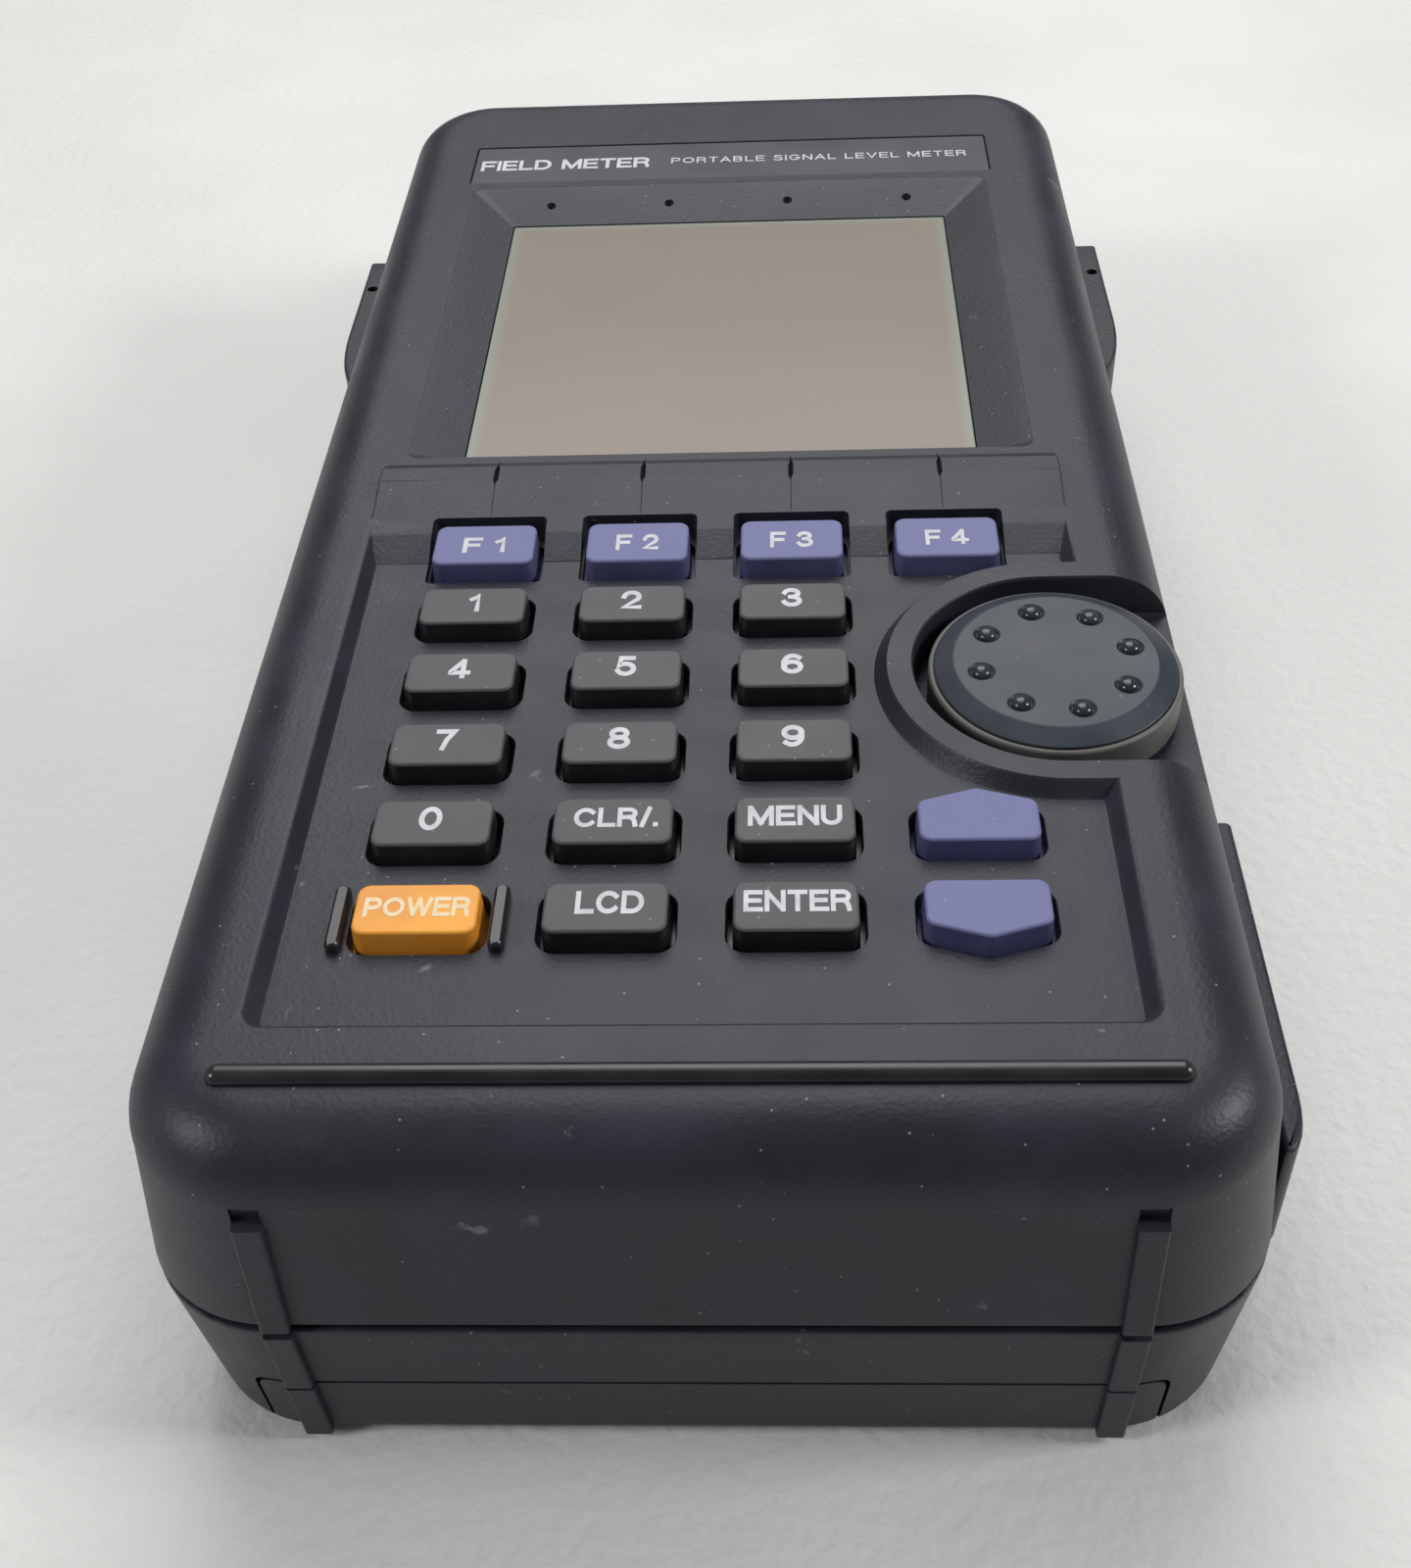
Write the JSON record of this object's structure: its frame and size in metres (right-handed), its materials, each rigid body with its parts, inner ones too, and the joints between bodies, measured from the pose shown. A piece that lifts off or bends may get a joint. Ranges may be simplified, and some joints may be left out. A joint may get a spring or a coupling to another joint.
{
  "type": "hand-held field-strength meter",
  "caption": "Hand-held measuring instrument in a two-shell case with a display, a keypad of sprung keys, a side jog dial, a hinged port cover and a sliding battery door.",
  "frame": {"origin": "centre of the underside, on the face that lies on a table", "axes": "+X to the dial side, +Y along the case towards the aerial socket, +Z out of the front panel"},
  "size_m": [0.1106, 0.2276, 0.0462],
  "materials": {
    "case": "fine-textured moulded",
    "seal": "matt",
    "steel": "satin",
    "dial_cap": "satin",
    "dial_ring": "matt",
    "window": "clear over a warm grey screen",
    "lcd": "satin",
    "tin_plate": "satin",
    "strip": "satin print",
    "mat": "matt",
    "board": "solder mask",
    "speaker": "matt",
    "cells": "printed sleeve",
    "contact": "plated",
    "nickel": "nickel plated",
    "socket": "moulded",
    "key_grey": "satin moulded",
    "key_violet": "satin moulded",
    "key_orange": "satin moulded"
  },
  "bodies": {
    "case": {"top_case": "case", "bottom_case": "case", "case_seal": "seal", "side_cover_pin": "steel", "dial_encoder": "steel", "display_window": "window", "lcd_module": "lcd", "lcd_frame": "tin_plate", "name_strip": "strip", "keypad_mat": "mat", "keypad_board": "board", "main_board": "board", "tuner_module": "tin_plate", "tuner_lid": "tin_plate", "speaker": "speaker", "battery_cells": "cells", "battery_contacts": "contact", "aerial_socket": "nickel", "aerial_nut": "nickel", "earphone_socket": "socket", "charger_socket": "socket", "serial_socket": "nickel", "case_screws": "steel", "board_screws": "steel"},
    "dial": {"dial_hub": "dial_cap", "dial_cap": "dial_cap", "dial_ring": "dial_ring"},
    "battery_door": {"battery_door": "case"},
    "side_cover": {"side_cover": "case"},
    "press_power": {"key_power": "key_orange"},
    "press_lcd": {"key_lcd": "key_grey"},
    "press_enter": {"key_enter": "key_grey"},
    "press_down": {"key_down": "key_violet"},
    "press_0": {"key_0": "key_grey"},
    "press_clear": {"key_clear": "key_grey"},
    "press_menu": {"key_menu": "key_grey"},
    "press_up": {"key_up": "key_violet"},
    "press_7": {"key_7": "key_grey"},
    "press_8": {"key_8": "key_grey"},
    "press_9": {"key_9": "key_grey"},
    "press_4": {"key_4": "key_grey"},
    "press_5": {"key_5": "key_grey"},
    "press_6": {"key_6": "key_grey"},
    "press_1": {"key_1": "key_grey"},
    "press_2": {"key_2": "key_grey"},
    "press_3": {"key_3": "key_grey"},
    "press_f1": {"key_f1": "key_violet"},
    "press_f2": {"key_f2": "key_violet"},
    "press_f3": {"key_f3": "key_violet"},
    "press_f4": {"key_f4": "key_violet"}
  },
  "joints": [
    {"name": "key_power_press", "type": "slide", "parent": "case", "child": "press_power", "axis": [0, 0, -1], "range_m": [0, 0.0012], "stiffness_N_per_m": 400, "springref_m": -0.0005},
    {"name": "key_lcd_press", "type": "slide", "parent": "case", "child": "press_lcd", "axis": [0, 0, -1], "range_m": [0, 0.0012], "stiffness_N_per_m": 400, "springref_m": -0.0005},
    {"name": "key_enter_press", "type": "slide", "parent": "case", "child": "press_enter", "axis": [0, 0, -1], "range_m": [0, 0.0012], "stiffness_N_per_m": 400, "springref_m": -0.0005},
    {"name": "key_down_press", "type": "slide", "parent": "case", "child": "press_down", "axis": [0, 0, -1], "range_m": [0, 0.0012], "stiffness_N_per_m": 400, "springref_m": -0.0005},
    {"name": "key_0_press", "type": "slide", "parent": "case", "child": "press_0", "axis": [0, 0, -1], "range_m": [0, 0.0012], "stiffness_N_per_m": 400, "springref_m": -0.0005},
    {"name": "key_clear_press", "type": "slide", "parent": "case", "child": "press_clear", "axis": [0, 0, -1], "range_m": [0, 0.0012], "stiffness_N_per_m": 400, "springref_m": -0.0005},
    {"name": "key_menu_press", "type": "slide", "parent": "case", "child": "press_menu", "axis": [0, 0, -1], "range_m": [0, 0.0012], "stiffness_N_per_m": 400, "springref_m": -0.0005},
    {"name": "key_up_press", "type": "slide", "parent": "case", "child": "press_up", "axis": [0, 0, -1], "range_m": [0, 0.0012], "stiffness_N_per_m": 400, "springref_m": -0.0005},
    {"name": "key_7_press", "type": "slide", "parent": "case", "child": "press_7", "axis": [0, 0, -1], "range_m": [0, 0.0012], "stiffness_N_per_m": 400, "springref_m": -0.0005},
    {"name": "key_8_press", "type": "slide", "parent": "case", "child": "press_8", "axis": [0, 0, -1], "range_m": [0, 0.0012], "stiffness_N_per_m": 400, "springref_m": -0.0005},
    {"name": "key_9_press", "type": "slide", "parent": "case", "child": "press_9", "axis": [0, 0, -1], "range_m": [0, 0.0012], "stiffness_N_per_m": 400, "springref_m": -0.0005},
    {"name": "key_4_press", "type": "slide", "parent": "case", "child": "press_4", "axis": [0, 0, -1], "range_m": [0, 0.0012], "stiffness_N_per_m": 400, "springref_m": -0.0005},
    {"name": "key_5_press", "type": "slide", "parent": "case", "child": "press_5", "axis": [0, 0, -1], "range_m": [0, 0.0012], "stiffness_N_per_m": 400, "springref_m": -0.0005},
    {"name": "key_6_press", "type": "slide", "parent": "case", "child": "press_6", "axis": [0, 0, -1], "range_m": [0, 0.0012], "stiffness_N_per_m": 400, "springref_m": -0.0005},
    {"name": "key_1_press", "type": "slide", "parent": "case", "child": "press_1", "axis": [0, 0, -1], "range_m": [0, 0.0012], "stiffness_N_per_m": 400, "springref_m": -0.0005},
    {"name": "key_2_press", "type": "slide", "parent": "case", "child": "press_2", "axis": [0, 0, -1], "range_m": [0, 0.0012], "stiffness_N_per_m": 400, "springref_m": -0.0005},
    {"name": "key_3_press", "type": "slide", "parent": "case", "child": "press_3", "axis": [0, 0, -1], "range_m": [0, 0.0012], "stiffness_N_per_m": 400, "springref_m": -0.0005},
    {"name": "key_f1_press", "type": "slide", "parent": "case", "child": "press_f1", "axis": [0, 0, -1], "range_m": [0, 0.0012], "stiffness_N_per_m": 400, "springref_m": -0.0005},
    {"name": "key_f2_press", "type": "slide", "parent": "case", "child": "press_f2", "axis": [0, 0, -1], "range_m": [0, 0.0012], "stiffness_N_per_m": 400, "springref_m": -0.0005},
    {"name": "key_f3_press", "type": "slide", "parent": "case", "child": "press_f3", "axis": [0, 0, -1], "range_m": [0, 0.0012], "stiffness_N_per_m": 400, "springref_m": -0.0005},
    {"name": "key_f4_press", "type": "slide", "parent": "case", "child": "press_f4", "axis": [0, 0, -1], "range_m": [0, 0.0012], "stiffness_N_per_m": 400, "springref_m": -0.0005},
    {"name": "dial_turn", "type": "hinge", "parent": "case", "child": "dial", "pos_m": [0.0364, -0.043, 0.045], "axis": [0, 0, 1], "continuous": true},
    {"name": "battery_door_slide", "type": "slide", "parent": "case", "child": "battery_door", "axis": [0, -1, 0], "range_m": [0, 0.062]},
    {"name": "side_cover_hinge", "type": "hinge", "parent": "case", "child": "side_cover", "pos_m": [0.0541, -0.06935, 0.014], "axis": [0, 1, 0], "range_deg": [0, 95]}
  ]
}
